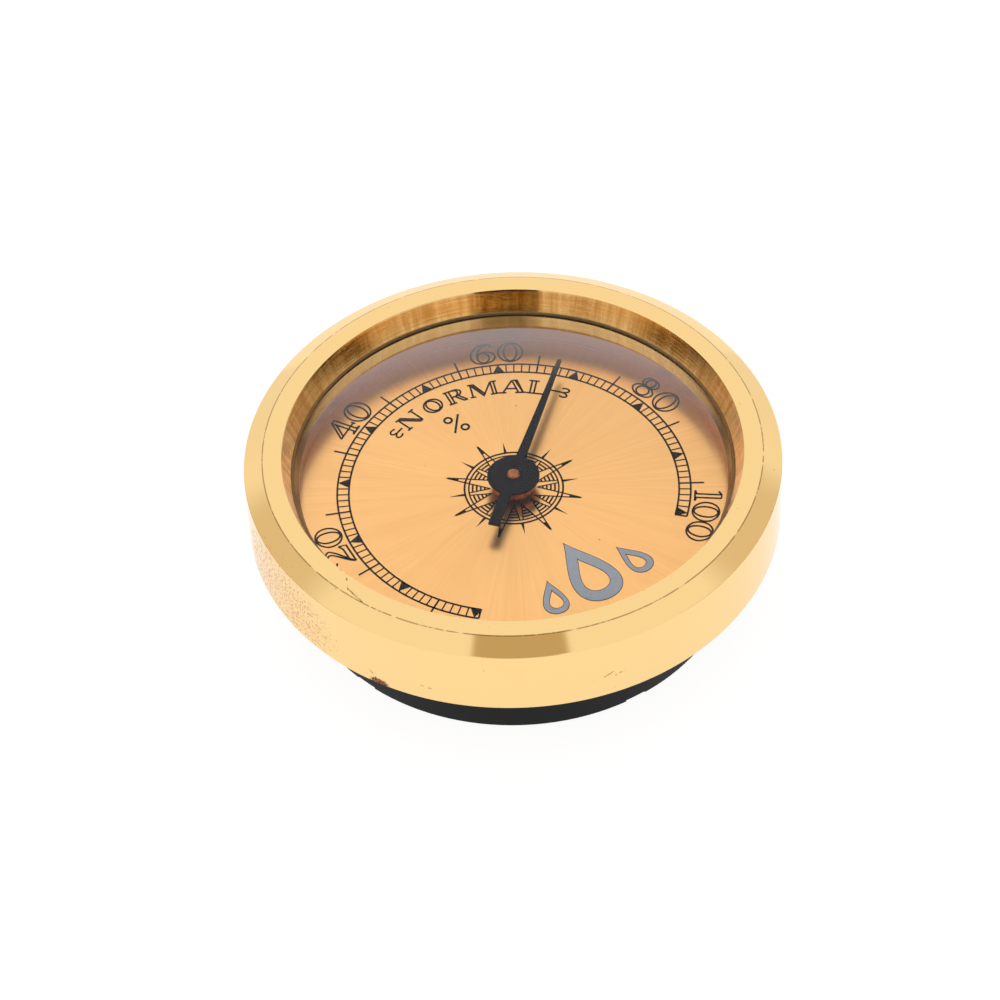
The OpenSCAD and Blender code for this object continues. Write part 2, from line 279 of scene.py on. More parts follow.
def make_radial_brush(turned_place):
    """Brushed grain that runs out from the centre of the dial."""
    tree, takes, gives = group(
        "radial brush",
        {"Fineness": ("NodeSocketFloat", 40.0), "Run": ("NodeSocketFloat", 0.12)},
        {"Grain": "NodeSocketFloat"},
    )
    at = use(tree, turned_place)
    around = vector_reckon(tree, "SCALE", at["Round"], takes["Fineness"])
    out = tree.nodes.new("ShaderNodeCombineXYZ")
    tree.links.new(reckon(tree, "MULTIPLY", at["Radius"], takes["Run"]), out.inputs["Z"])
    point = vector_reckon(tree, "ADD", around, out.outputs[0])
    tree.links.new(noise(tree, point, 1.0, 5.0, 0.7), gives["Grain"])
    return tree


def make_specks():
    """Small scattered spots: dust, pores or print flaws."""
    tree, takes, gives = group(
        "specks",
        {"Spread": ("NodeSocketFloat", 0.6), "Size": ("NodeSocketFloat", 0.05),
         "Share": ("NodeSocketFloat", 0.4)},
        {"Mask": "NodeSocketFloat"},
    )
    place = object_place(tree)
    cells = tree.nodes.new("ShaderNodeTexVoronoi")
    tree.links.new(place, cells.inputs["Vector"])
    tree.links.new(takes["Spread"], cells.inputs["Scale"])
    near = reckon(tree, "DIVIDE", cells.outputs["Distance"], takes["Spread"])
    edge = reckon(tree, "MULTIPLY", takes["Size"], 0.5)
    dot = ramp(tree, near, takes["Size"], edge)
    pick = tree.nodes.new("ShaderNodeSeparateColor")
    tree.links.new(cells.outputs["Color"], pick.inputs[0])
    chosen = reckon(tree, "LESS_THAN", pick.outputs[0], takes["Share"])
    tree.links.new(reckon(tree, "MULTIPLY", dot, chosen), gives["Mask"])
    return tree


def make_stain():
    """A blotch with a broken edge round one place, given in millimetres."""
    tree, takes, gives = group(
        "stain",
        {"Centre": ("NodeSocketVector", (0, 0, 0)), "Stretch": ("NodeSocketVector", (1, 1, 1)),
         "Size": ("NodeSocketFloat", 1.0), "Break": ("NodeSocketFloat", 4.0)},
        {"Mask": "NodeSocketFloat"},
    )
    place = object_place(tree)
    away = vector_reckon(tree, "SUBTRACT", place, takes["Centre"])
    away = vector_reckon(tree, "MULTIPLY", away, takes["Stretch"])
    reach = reckon(tree, "DIVIDE", vector_reckon(tree, "LENGTH", away), takes["Size"])
    broken = noise(tree, place, takes["Break"], 4.0, 0.6)
    edge = reckon(tree, "MULTIPLY_ADD", broken, 1.6, reckon(tree, "ADD", reach, -0.8))
    tree.links.new(ramp(tree, edge, 1.05, 0.75), gives["Mask"])
    return tree


def make_scratch():
    """A fine broken line between two places, given in millimetres."""
    tree, takes, gives = group(
        "scratch",
        {"Start": ("NodeSocketVector", (0, 0, 0)), "End": ("NodeSocketVector", (1, 0, 0)),
         "Width": ("NodeSocketFloat", 0.1)},
        {"Mask": "NodeSocketFloat"},
    )
    place = object_place(tree)
    run = vector_reckon(tree, "SUBTRACT", takes["End"], takes["Start"])
    away = vector_reckon(tree, "SUBTRACT", place, takes["Start"])
    along = reckon(
        tree, "DIVIDE",
        vector_reckon(tree, "DOT_PRODUCT", away, run),
        vector_reckon(tree, "DOT_PRODUCT", run, run),
        clamp=True,
    )
    off = vector_reckon(tree, "SUBTRACT", away, vector_reckon(tree, "SCALE", run, along))
    wander = reckon(tree, "MULTIPLY_ADD", noise(tree, place, 3.5, 3.0), 0.4, -0.2)
    gap = reckon(tree, "ADD", vector_reckon(tree, "LENGTH", off), wander)
    gap = reckon(tree, "ABSOLUTE", gap)
    tree.links.new(ramp(tree, gap, takes["Width"], 0.0), gives["Mask"])
    return tree


TURNED_PLACE = make_turned_place()
TURNING_MARKS = make_turning_marks(TURNED_PLACE)
RADIAL_BRUSH = make_radial_brush(TURNED_PLACE)
SPECKS = make_specks()
STAIN = make_stain()
SCRATCH = make_scratch()


# ---------------------------------------------------------------- finishes

BRASS = (0.96, 0.665, 0.292, 1)
BRASS_DEEP = (0.97, 0.64, 0.27, 1)
# Darker brass for the cone: painted shade in the bezel's throat, not a different metal
CONE_SHADE_BRASS = (0.6, 0.31, 0.08, 1)
# Dark tarnish for pits, scratches and crust, and also the painted shade line along the crease
TARNISH_AND_SHADE = (0.11, 0.035, 0.012, 1)
RUST = (0.6, 0.2, 0.09, 1)


def on_bezel(radius, clockwise, height):
    """A place on the bezel in millimetres, clockwise from 12 o'clock."""
    turn = math.radians(clockwise)
    return (radius * math.sin(turn), radius * math.cos(turn), height)


# Where the bezel is marked: start, end and width of each line
BEZEL_SCRATCHES = (
    (on_bezel(19.6, -103, 14.3), on_bezel(20.9, -107, 14.4), 0.07),
    (on_bezel(20.9, -107, 14.4), on_bezel(21.3, -112, 14.4), 0.05),
    (on_bezel(19.4, -101, 14.0), on_bezel(19.7, -101.6, 14.4), 0.13),
    (on_bezel(23.0, -171, 9.6), on_bezel(23.0, -167.5, 9.2), 0.05),
    (on_bezel(23.0, -168.5, 9.9), on_bezel(23.0, -166.5, 9.5), 0.05),
    (on_bezel(23.0, -131, 8.6), on_bezel(23.0, -128, 8.8), 0.05),
    (on_bezel(23.0, -117, 8.2), on_bezel(23.0, -116, 8.6), 0.06),
)


# Crust at the foot of the bezel, and the place where the lacquer is worn through
FOOT_CRUST = {"Centre": (-20.3, -10.9, 7.35), "Stretch": (1, 1, 1.6), "Size": 0.9, "Break": 9.0}
WORN_PATCH = {"Centre": (-22.9, 1.0, 9.6), "Stretch": (1, 0.42, 0.8), "Size": 3.2, "Break": 2.6}


def bezel_brass():
    """Polished lacquered brass with turning marks in the cone and a little wear. The cone's darker tone and a
    dark line along the crease are painted shade.
    """
    material, tree, shader, _ = finish_of("bezel brass")
    at = use(tree, TURNED_PLACE)
    marks = use(tree, TURNING_MARKS, Fineness=7.0, Run=2.2)["Mark"]
    fine = use(tree, TURNING_MARKS, Fineness=30.0, Run=2.5)["Mark"]
    in_cone = reckon(
        tree, "MULTIPLY",
        ramp(tree, at["Radius"], LIP_R / MM + 0.02, LIP_R / MM - 0.1),
        ramp(tree, at["Height"], SEAT_Z / MM, SEAT_Z / MM + 0.2),
    )
    clouds = noise(tree, at["Place"], 0.35, 2.0)
    base = mix_colour(tree, ramp(tree, clouds, 0.5, 1.1), BRASS, BRASS_DEEP)
    chatter = use(tree, RADIAL_BRUSH, Fineness=26.0, Run=0.3)["Grain"]
    streaks = reckon(tree, "MULTIPLY_ADD", chatter, 0.6, reckon(tree, "MULTIPLY", marks, 0.4))
    # The cone's streaks follow its turning marks; its darker tone overall is painted shade in the recess
    # inside the lip
    cone = mix_colour(tree, ramp(tree, streaks, 0.34, 0.68), CONE_SHADE_BRASS, BRASS_DEEP)
    base = mix_colour(tree, in_cone, base, cone)
    pits = use(tree, SPECKS, Spread=1.1, Size=0.06, Share=0.3)["Mask"]
    # Painted shade: a dark broken line along the crease at the top of the chamfer, in the tarnish colour
    off_crease = reckon(tree, "SUBTRACT", at["Radius"], CREASE_R / MM + 0.02)
    off_crease = reckon(tree, "ABSOLUTE", off_crease)
    gaps = noise(tree, at["Place"], 1.1, 5.0, 0.75)
    line = reckon(
        tree, "MULTIPLY",
        reckon(tree, "MULTIPLY", ramp(tree, off_crease, 0.08, 0.02), ramp(tree, gaps, 0.36, 0.5)),
        ramp(tree, at["Height"], BEZEL_TOP / MM - 0.2, BEZEL_TOP / MM - 0.1),
    )
    base = mix_colour(tree, reckon(tree, "MULTIPLY", line, 0.65), base, TARNISH_AND_SHADE)
    foot = use(tree, STAIN, **FOOT_CRUST)["Mask"]
    worn = use(tree, STAIN, **WORN_PATCH)["Mask"]
    pores = reckon(tree, "MULTIPLY", worn, ramp(tree, noise(tree, at["Place"], 5.0, 5.0, 0.7), 0.5, 0.62))
    base = mix_colour(tree, reckon(tree, "MULTIPLY", pores, 0.9), base, RUST)
    base = mix_colour(tree, reckon(tree, "MULTIPLY", pits, 0.8), base, TARNISH_AND_SHADE)
    crust = mix_colour(tree, ramp(tree, noise(tree, at["Place"], 9.0, 2.0), 0.45, 0.65), TARNISH_AND_SHADE, RUST)
    base = mix_colour(tree, foot, base, crust)
    for start, end, width in BEZEL_SCRATCHES:
        cut = use(tree, SCRATCH, Start=start, End=end, Width=width)["Mask"]
        base = mix_colour(tree, reckon(tree, "MULTIPLY", cut, 0.85), base, TARNISH_AND_SHADE)
    shader.inputs["Metallic"].default_value = 1.0
    dull = reckon(tree, "MULTIPLY_ADD", clouds, 0.05, 0.035)
    dull = reckon(tree, "MULTIPLY_ADD", reckon(tree, "MAXIMUM", pores, foot), 0.4, dull)
    dull = reckon(tree, "MULTIPLY_ADD", in_cone, 0.03, dull)
    relief = reckon(tree, "MULTIPLY", marks, reckon(tree, "MULTIPLY_ADD", in_cone, 0.8, 0.1))
    relief = reckon(tree, "MULTIPLY_ADD", fine, reckon(tree, "MULTIPLY_ADD", in_cone, 0.15, 0.05), relief)
    relief = reckon(tree, "SUBTRACT", relief, reckon(tree, "MULTIPLY", pores, 0.5))
    dress(tree, shader, base, dull, bump(tree, relief, 0.22, 0.00004))
    return material


def crystal_clear():
    """The clear domed crystal. Light passes it without a hard shadow."""
    material, tree, shader, output = finish_of("crystal clear")
    shader.inputs["Base Color"].default_value = (1, 1, 1, 1)
    shader.inputs["Metallic"].default_value = 0.0
    shader.inputs["Transmission Weight"].default_value = 1.0
    shader.inputs["IOR"].default_value = 1.49
    shader.inputs["Specular Tint"].default_value = (0.06, 0.07, 0.1, 1)
    shader.inputs["Coat IOR"].default_value = 2.6
    shader.inputs["Coat Roughness"].default_value = 0.02
    facing = tree.nodes.new("ShaderNodeLayerWeight")
    facing.inputs["Blend"].default_value = 0.5
    oblique = ramp(tree, facing.outputs["Facing"], 0.3, 0.375)
    tree.links.new(oblique, shader.inputs["Coat Weight"])
    hair = use(tree, SPECKS, Spread=0.5, Size=0.03, Share=0.3)["Mask"]
    tree.links.new(reckon(tree, "MULTIPLY", hair, 0.3), shader.inputs["Roughness"])
    clear = tree.nodes.new("ShaderNodeBsdfTransparent")
    path = tree.nodes.new("ShaderNodeLightPath")
    swap = tree.nodes.new("ShaderNodeMixShader")
    tree.links.new(path.outputs["Is Shadow Ray"], swap.inputs[0])
    tree.links.new(shader.outputs["BSDF"], swap.inputs[1])
    tree.links.new(clear.outputs[0], swap.inputs[2])
    tree.links.new(swap.outputs[0], output.inputs["Surface"])
    return material


def dial_gilt():
    """Gilt dial, brushed out from the centre, with a few dust specks."""
    material, tree, shader, _ = finish_of("dial gilt")
    at = use(tree, TURNED_PLACE)
    fine = use(tree, RADIAL_BRUSH, Fineness=70.0, Run=0.1)["Grain"]
    broad = use(tree, RADIAL_BRUSH, Fineness=9.0, Run=0.05)["Grain"]
    tone = reckon(tree, "MULTIPLY_ADD", fine, 0.7, reckon(tree, "MULTIPLY", broad, 0.3))
    base = mix_colour(tree, ramp(tree, tone, 0.3, 0.7), (0.91, 0.5, 0.185, 1), (1.0, 0.575, 0.225, 1))
    dust = use(tree, SPECKS, Spread=0.4, Size=0.1, Share=0.22)["Mask"]
    base = mix_colour(tree, reckon(tree, "MULTIPLY", dust, 0.7), base, (0.05, 0.025, 0.02, 1))
    shader.inputs["Metallic"].default_value = 1.0
    shader.inputs["Anisotropic"].default_value = 0.4
    near = ramp(tree, at["Radius"], 2.0, 6.0)
    rough = reckon(tree, "MULTIPLY_ADD", fine, 0.06, reckon(tree, "MULTIPLY_ADD", near, 0.02, 0.25))
    dress(tree, shader, base, rough, bump(tree, fine, 0.05, 0.00001))
    return material


def dial_ink(name, colour, light):
    """Screen-printed ink: a thin satin layer with a slightly uneven lay-down."""
    material, tree, shader, _ = finish_of(name)
    place = object_place(tree)
    thin = ramp(tree, noise(tree, place, 6.0, 4.0, 0.6), 0.4, 0.75)
    base = mix_colour(tree, thin, colour, light)
    rough = reckon(tree, "MULTIPLY_ADD", thin, 0.15, 0.38)
    shader.inputs["Specular IOR Level"].default_value = 0.15
    dress(tree, shader, base, rough, bump(tree, noise(tree, place, 14.0, 2.0), 0.2, 0.00001))
    return material


def case_plastic():
    """Black moulded plastic with a fine spark-eroded grain."""
    material, tree, shader, _ = finish_of("case plastic")
    place = object_place(tree)
    grain = noise(tree, place, 9.0, 4.0, 0.6)
    cloud = noise(tree, place, 0.6, 2.0)
    base = mix_colour(tree, cloud, (0.003, 0.0035, 0.004, 1), (0.007, 0.007, 0.008, 1))
    dust = use(tree, SPECKS, Spread=1.3, Size=0.06, Share=0.3)["Mask"]
    base = mix_colour(tree, reckon(tree, "MULTIPLY", dust, 0.35), base, (0.25, 0.24, 0.22, 1))
    rough = reckon(tree, "MULTIPLY_ADD", grain, 0.2, 0.3)
    shader.inputs["Specular IOR Level"].default_value = 0.14
    dress(tree, shader, base, rough, bump(tree, grain, 0.25, 0.00003))
    return material


def pointer_paint():
    """Matt charcoal paint on the pointer."""
    material, tree, shader, _ = finish_of("pointer paint")
    place = object_place(tree)
    grain = noise(tree, place, 22.0, 4.0, 0.6)
    base = mix_colour(tree, ramp(tree, grain, 0.35, 0.7), (0.006, 0.0065, 0.009, 1), (0.015, 0.015, 0.019, 1))
    lint = use(tree, SPECKS, Spread=2.5, Size=0.05, Share=0.35)["Mask"]
    base = mix_colour(tree, reckon(tree, "MULTIPLY", lint, 0.4), base, (0.35, 0.33, 0.3, 1))
    rough = reckon(tree, "MULTIPLY_ADD", grain, 0.15, 0.5)
    shader.inputs["Specular IOR Level"].default_value = 0.12
    dress(tree, shader, base, rough, bump(tree, grain, 0.3, 0.00001))
    return material


def turned_metal(name, light, dark, rough, fineness=14.0, relief=0.3):
    """A small turned metal part with lathe lines and a little oxide."""
    material, tree, shader, _ = finish_of(name)
    marks = use(tree, TURNING_MARKS, Fineness=fineness, Run=2.0)["Mark"]
    place = object_place(tree)
    oxide = noise(tree, place, 1.8, 4.0, 0.6)
    base = mix_colour(tree, ramp(tree, oxide, 0.42, 0.7), light, dark)
    shader.inputs["Metallic"].default_value = 1.0
    rough = reckon(tree, "MULTIPLY_ADD", marks, 0.14, rough)
    dress(tree, shader, base, rough, bump(tree, marks, relief, 0.00002))
    return material


def spacer_gilt():
    """The spacer: a polished bevel painted pale as reflected light, over a dull wall painted dark as shade.
    """
    material, tree, shader, _ = finish_of("spacer gilt")
    at = use(tree, TURNED_PLACE)
    marks = use(tree, TURNING_MARKS, Fineness=10.0, Run=1.4)["Mark"]
    bevel_foot = (SPACER_TOP - SPACER_BEVEL) / MM
    bevel = ramp(tree, at["Height"], bevel_foot - 0.1, bevel_foot + 0.08)
    # Painted shade: the wall is coloured dark for the shade in the gap under the crystal
    wall = mix_colour(tree, marks, (0.2, 0.07, 0.03, 1), (0.3, 0.11, 0.048, 1))
    # Painted reflection: the bevel is coloured pale for the light it seems to catch
    painted_bevel_sheen = mix_colour(tree, marks, (0.5, 0.31, 0.12, 1), (0.68, 0.45, 0.2, 1))
    base = mix_colour(tree, bevel, wall, painted_bevel_sheen)
    shader.inputs["Metallic"].default_value = 0.9
    rough = reckon(tree, "MULTIPLY_ADD", bevel, -0.28, 0.34)
    rough = reckon(tree, "MULTIPLY_ADD", marks, 0.06, rough)
    dress(tree, shader, base, rough, bump(tree, marks, 0.2, 0.00003))
    return material


def gasket_rubber():
    """Amber rubber with a faint bloom."""
    material, tree, shader, _ = finish_of("gasket rubber")
    bloom = noise(tree, object_place(tree), 3.0, 4.0)
    base = mix_colour(tree, bloom, (0.12, 0.07, 0.025, 1), (0.24, 0.15, 0.06, 1))
    rough = reckon(tree, "MULTIPLY_ADD", bloom, 0.2, 0.55)
    dress(tree, shader, base, rough, bump(tree, bloom, 0.2, 0.00002))
    return material


def bearing_nylon():
    """Off-white nylon."""
    material, tree, shader, _ = finish_of("bearing nylon")
    haze = noise(tree, object_place(tree), 2.5, 3.0)
    base = mix_colour(tree, haze, (0.72, 0.7, 0.63, 1), (0.82, 0.8, 0.74, 1))
    rough = reckon(tree, "MULTIPLY_ADD", haze, 0.15, 0.4)
    dress(tree, shader, base, rough, bump(tree, haze, 0.15, 0.00002))
    return material


FINISHES = {
    "bezel_brass": bezel_brass(),
    "crystal_clear": crystal_clear(),
    "gasket_rubber": gasket_rubber(),
    "spacer_gilt": spacer_gilt(),
    "dial_gilt": dial_gilt(),
    "dial_ink": dial_ink("dial ink", (0.004, 0.003, 0.003, 1), (0.01, 0.008, 0.009, 1)),
    "emblem_silver": dial_ink("emblem silver", (0.42, 0.47, 0.56, 1), (0.5, 0.55, 0.64, 1)),
    "case_plastic": case_plastic(),
    "movement_brass": turned_metal("movement brass", (0.72, 0.48, 0.19, 1), (0.5, 0.3, 0.1, 1), 0.22),
    "movement_steel": turned_metal("movement steel", (0.55, 0.55, 0.56, 1), (0.36, 0.35, 0.35, 1), 0.2),
    "bearing_nylon": bearing_nylon(),
    "coil_strip": turned_metal("coil strip", (0.6, 0.6, 0.58, 1), (0.45, 0.36, 0.22, 1), 0.25),
    "shaft_copper": turned_metal("shaft copper", (0.4, 0.155, 0.06, 1), (0.2, 0.07, 0.028, 1), 0.24),
    "pointer_paint": pointer_paint(),
}


# ---------------------------------------------------------------- mesh helpers


SHARP_DEG = 50
ON_AXIS = 1e-9
MOST_ROUNDED = 0.45


def settle(name, mesh, body, finish, smooth=True):
    """Links a mesh as a piece of the object, with its finish and its body."""
    piece = bpy.data.objects.new(name, mesh)
    bpy.context.scene.collection.objects.link(piece)
    mesh.materials.append(FINISHES[finish])
    for face in mesh.polygons:
        face.use_smooth = smooth
    if smooth:
        mesh.set_sharp_from_angle(angle=math.radians(SHARP_DEG))
        even = piece.modifiers.new("even_shading", "WEIGHTED_NORMAL")
        even.keep_sharp = True
        even.weight = 80
    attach(piece, body)
    return piece


def rounded(outline, radii, steps=4):
    """A closed (r, z) outline with each corner rounded by its own radius."""
    result = []
    count = len(outline)
    for index in range(count):
        corner = Vector(outline[index])
        before = Vector(outline[index - 1]) - corner
        after = Vector(outline[(index + 1) % count]) - corner
        radius = radii[index]
        if radius <= 0:
            result.append(tuple(corner))
            continue
        turn = before.angle(after)
        reach = radius / math.tan(turn / 2)
        reach = min(reach, before.length * MOST_ROUNDED, after.length * MOST_ROUNDED)
        start = corner + before.normalized() * reach
        end = corner + after.normalized() * reach
        for step in range(steps + 1):
            share = step / steps
            curve = start.lerp(corner, share).lerp(corner.lerp(end, share), share)
            result.append(tuple(curve))
    return result


def turned(name, outline, body, finish, steps=ROUND_STEPS):
    """A closed (r, z) outline turned about the dial's axis."""
    mesh = bpy.data.meshes.new(name)
    work = bmesh.new()
    columns = []
    poles = {}
    for step in range(steps):
        angle = 2 * math.pi * step / steps
        column = []
        for index, (radius, height) in enumerate(outline):
            if radius < ON_AXIS:
                if index not in poles:
                    poles[index] = work.verts.new((0, 0, height))
                column.append(poles[index])
            else:
                place = (radius * math.cos(angle), radius * math.sin(angle), height)
                column.append(work.verts.new(place))
        columns.append(column)
    count = len(outline)
    for step in range(steps):
        here = columns[step]
        there = columns[(step + 1) % steps]
        for index in range(count):
            after = (index + 1) % count
            corners = []
            for vert in (here[index], there[index], there[after], here[after]):
                if vert not in corners:
                    corners.append(vert)
            if len(corners) > 2:
                work.faces.new(corners)
    bmesh.ops.recalc_face_normals(work, faces=work.faces)
    work.to_mesh(mesh)
    work.free()
    return settle(name, mesh, body, finish)


# ---------------------------------------------------------------- turned pieces


def bezel_ring():
    """The polished bezel, with softened edges that catch the light."""
    groove_r = CRYSTAL_R + 0.1 * MM
    outline = [
        (BORE_R, BEZEL_FOOT),
        (BEZEL_R, BEZEL_FOOT),
        (BEZEL_R, BEZEL_TOP - CHAMFER_DROP),
        (CREASE_R, BEZEL_TOP),
        (LIP_R, BEZEL_TOP),
        (THROAT_R, SEAT_Z),
        (groove_r, SEAT_Z),
        (groove_r, SPACER_TOP),
        (BORE_R, SPACER_TOP),
    ]
    soft = [0.05 * MM, 0.14 * MM, 0.09 * MM, 0.05 * MM, 0.05 * MM, 0.03 * MM, 0, 0, 0]
    ring = turned("bezel_ring", rounded(outline, soft), "case", "bezel_brass")
    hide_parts("bezel")
    return ring


def spacer_wall():
    """The spacer ring under the crystal, bevelled at its inner top edge."""
    inner = DIAL_R - SPACER_W
    outline = [
        (inner, DIAL_TOP),
        (DIAL_R, DIAL_TOP),
        (DIAL_R, SPACER_TOP),
        (inner + SPACER_BEVEL, SPACER_TOP),
        (inner, SPACER_TOP - SPACER_BEVEL),
    ]
    soft = [0, 0, 0, 0.03 * MM, 0.08 * MM]
    ring = turned("spacer_wall", rounded(outline, soft), "case", "spacer_gilt")
    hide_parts("spacer_ring")
    return ring


def dome_height(radius):
    """Height of the dome above its edge: almost flat, with a rolled shoulder."""
    return DOME_RISE * (1 - min(radius / DOME_R, 1.0) ** SHOULDER)


def crystal_dome():
    """The crystal: a thin even dome with a flat land round its edge."""
    rings = 30
    edge = 0.05 * MM
    crystal_top = CRYSTAL_FOOT + CRYSTAL_T
    outline = []
    for step in range(rings + 1):
        radius = DOME_R * step / rings
        outline.append((radius, CRYSTAL_FOOT + dome_height(radius)))
    outline.append((CRYSTAL_R - edge, CRYSTAL_FOOT))
    outline.append((CRYSTAL_R, CRYSTAL_FOOT + edge))
    outline.append((CRYSTAL_R, crystal_top - edge))
    outline.append((CRYSTAL_R - edge, crystal_top))
    for step in range(rings, -1, -1):
        radius = DOME_R * step / rings
        outline.append((radius, crystal_top + dome_height(radius)))
    dome = turned("crystal_dome", outline, "case", "crystal_clear", steps=CRYSTAL_STEPS)
    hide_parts("crystal")
    return dome


# ---------------------------------------------------------------- dial print


def on_dial(radius, clockwise):
    """A point on the dial from its radius and its angle clockwise from 12 o'clock."""
    turn = math.radians(clockwise)
    return Vector((radius * math.sin(turn), radius * math.cos(turn)))


def smooth_path(points, per_span=6):
    """A smooth line through a few points."""
    spots = [Vector(p) for p in points]
    last = len(spots) - 1
    path = []
    for span in range(last):
        p0 = spots[max(span - 1, 0)]
        p1 = spots[span]
        p2 = spots[span + 1]
        p3 = spots[min(span + 2, last)]
        for step in range(per_span):
            t = step / per_span
            path.append(
                0.5 * (2 * p1 + (p2 - p0) * t + (2 * p0 - 5 * p1 + 4 * p2 - p3) * t**2
                       + (3 * p1 - p0 - 3 * p2 + p3) * t**3)
            )
    path.append(spots[last])
    return path


def ellipse(centre, half_wide, half_high, lean=0.0, steps=36):
    """Points round an ellipse, leaning by some degrees."""
    tilt = Matrix.Rotation(math.radians(lean), 2)
    path = []
    for step in range(steps):
        turn = 2 * math.pi * step / steps
        spot = Vector((half_wide * math.cos(turn), half_high * math.sin(turn)))
        path.append(Vector(centre) + tilt @ spot)
    return path


class Print:
    """Ink laid on the dial: every stroke and patch becomes a thin closed slab."""

    def __init__(self, lift=0.0):
        self.work = bmesh.new()
        self.foot = DIAL_TOP + lift
        self.top = DIAL_TOP + INK_T + lift

    def slab(self, outline):
        """A filled patch inside an outline."""
        low = [self.work.verts.new((p[0], p[1], self.foot)) for p in outline]
        high = [self.work.verts.new((p[0], p[1], self.top)) for p in outline]
        count = len(outline)
        self.work.faces.new(high)
        self.work.faces.new(low[::-1])
        for index in range(count):
            after = (index + 1) % count
            self.work.faces.new((low[index], low[after], high[after], high[index]))

    def band(self, left, right, closed=False):
        """A strip between two lines of equally many points."""
        rows = []
        for a, b in zip(left, right):
            rows.append([
                self.work.verts.new((a[0], a[1], self.foot)),
                self.work.verts.new((b[0], b[1], self.foot)),
                self.work.verts.new((b[0], b[1], self.top)),
                self.work.verts.new((a[0], a[1], self.top)),
            ])
        count = len(rows)
        for index in range(count if closed else count - 1):
            here = rows[index]
            there = rows[(index + 1) % count]
            for side in range(4):
                after = (side + 1) % 4
                self.work.faces.new((here[side], here[after], there[after], there[side]))
        if not closed:
            self.work.faces.new(rows[0][::-1])
            self.work.faces.new(rows[-1])

    def stroke(self, path, width, closed=False, taper=None):
        """A line of ink. Taper gives the share of the width at the start and end."""
        spots = [Vector(p) for p in path]
        count = len(spots)
        left, right = [], []
        for index, spot in enumerate(spots):
            if closed:
                back = spots[index - 1]
                ahead = spots[(index + 1) % count]
            else:
                back = spots[max(index - 1, 0)]
                ahead = spots[min(index + 1, count - 1)]
            run = (ahead - back).normalized()
            side = Vector((-run.y, run.x))
            into = (spot - back).normalized() if index or closed else run
            stretch = 1 / max(MITRE_LIMIT, abs(into.dot(run)))
            half = width / 2 * stretch
            if taper:
                half *= taper[0] + (taper[1] - taper[0]) * index / max(count - 1, 1)
            left.append(spot + side * half)
            right.append(spot - side * half)
        self.band(left, right, closed)

    def arc(self, radius, start, end, width):
        """A stroke round the dial's centre between two clockwise angles."""
        steps = max(3, int(abs(end - start) / ARC_STEP))
        turns = [start + (end - start) * step / steps for step in range(steps + 1)]
        inner = [on_dial(radius - width / 2, turn) for turn in turns]
        outer = [on_dial(radius + width / 2, turn) for turn in turns]
        self.band(inner, outer)

    def circle(self, radius, width):
        """A full ring round the dial's centre."""
        steps = 144
        turns = [360 * step / steps for step in range(steps)]
        inner = [on_dial(radius - width / 2, turn) for turn in turns]
        outer = [on_dial(radius + width / 2, turn) for turn in turns]
        self.band(inner, outer, closed=True)

    def piece(self, name, finish):
        bmesh.ops.recalc_face_normals(self.work, faces=self.work.faces)
        mesh = bpy.data.meshes.new(name)
        self.work.to_mesh(mesh)
        self.work.free()
        return settle(name, mesh, "case", finish, smooth=False)


def scale_angle(percent):
    """Clockwise angle of a humidity reading."""
    return SCALE_START + PERCENT_DEG * percent


def scale_band():
    """The ruled band of the scale, its 1 % ticks, 5 % ticks and 10 % arrowheads."""
    ink = Print()
    over = 1.5
    arrow = math.degrees(0.52 * MM / BAND_IN)
    first = scale_angle(0) - over
    last = scale_angle(100) + over
    ink.arc(BAND_IN, first, last, LINE)
    ink.arc(BAND_OUT, first, last, LINE)
    for end in (first, last):
        ink.stroke([on_dial(BAND_IN, end), on_dial(BAND_OUT, end)], LINE)
    for percent in range(101):
        turn = scale_angle(percent)
        if percent % 10 == 0:
            corners = ((BAND_IN, turn - arrow), (BAND_OUT, turn), (BAND_IN, turn + arrow))
            ink.slab([on_dial(radius, side) for radius, side in corners])
        elif percent % 5 == 0:
            ink.stroke([on_dial(BAND_IN, turn), on_dial(FIVE_OUT, turn)], LINE)
        else:
            ink.stroke([on_dial(BAND_IN, turn), on_dial(BAND_OUT, turn)], HAIR)
    return ink.piece("scale_band", "dial_ink")


# Each glyph is a list of strokes in units of half its height, drawn upright.
# A stroke is (points, closed).


def lines(*paths):
    """Open strokes."""
    return [(path, False) for path in paths]


def loops(*paths):
    """Closed strokes."""
    return [(path, True) for path in paths]


def glyph_zero():
    return loops(ellipse((0, 0), 0.93, 1.0), ellipse((0, 0), 0.5, 0.9))


def glyph_six():
    outer = smooth_path([(0.62, 0.62), (0.7, 0.86), (0.35, 1.0), (-0.2, 0.9), (-0.72, 0.42), (-0.92, -0.25),
                         (-0.62, -0.84), (0.0, -1.0), (0.62, -0.84), (0.9, -0.38), (0.68, 0.05),
                         (0.1, 0.2), (-0.45, 0.02)])
    inner = smooth_path([(0.45, 0.93), (0.0, 0.72), (-0.35, 0.25), (-0.46, -0.3)])
    return lines(outer, inner) + loops(ellipse((0.0, -0.4), 0.44, 0.52))


def glyph_eight():
    return loops(
        ellipse((0, 0.5), 0.68, 0.48),
        ellipse((0, 0.5), 0.36, 0.4),
        ellipse((0, -0.44), 0.88, 0.55),
        ellipse((0, -0.44), 0.5, 0.46),
    )


def glyph_four():
    return lines(
        [(0.22, 1.0), (0.22, -0.9)],
        [(0.56, 1.0), (0.56, -0.9)],
        [(0.2, 1.0), (0.58, 1.0)],
        [(0.22, 1.0), (-0.92, -0.4)],
        [(0.22, 0.62), (-0.62, -0.4)],
        [(-0.94, -0.4), (0.95, -0.4)],
        [(0.95, -0.22), (0.95, -0.58)],
        [(-0.1, -0.98), (0.88, -0.98)],
        [(-0.1, -0.98), (0.22, -0.86)],
        [(0.88, -0.98), (0.56, -0.86)],
    )


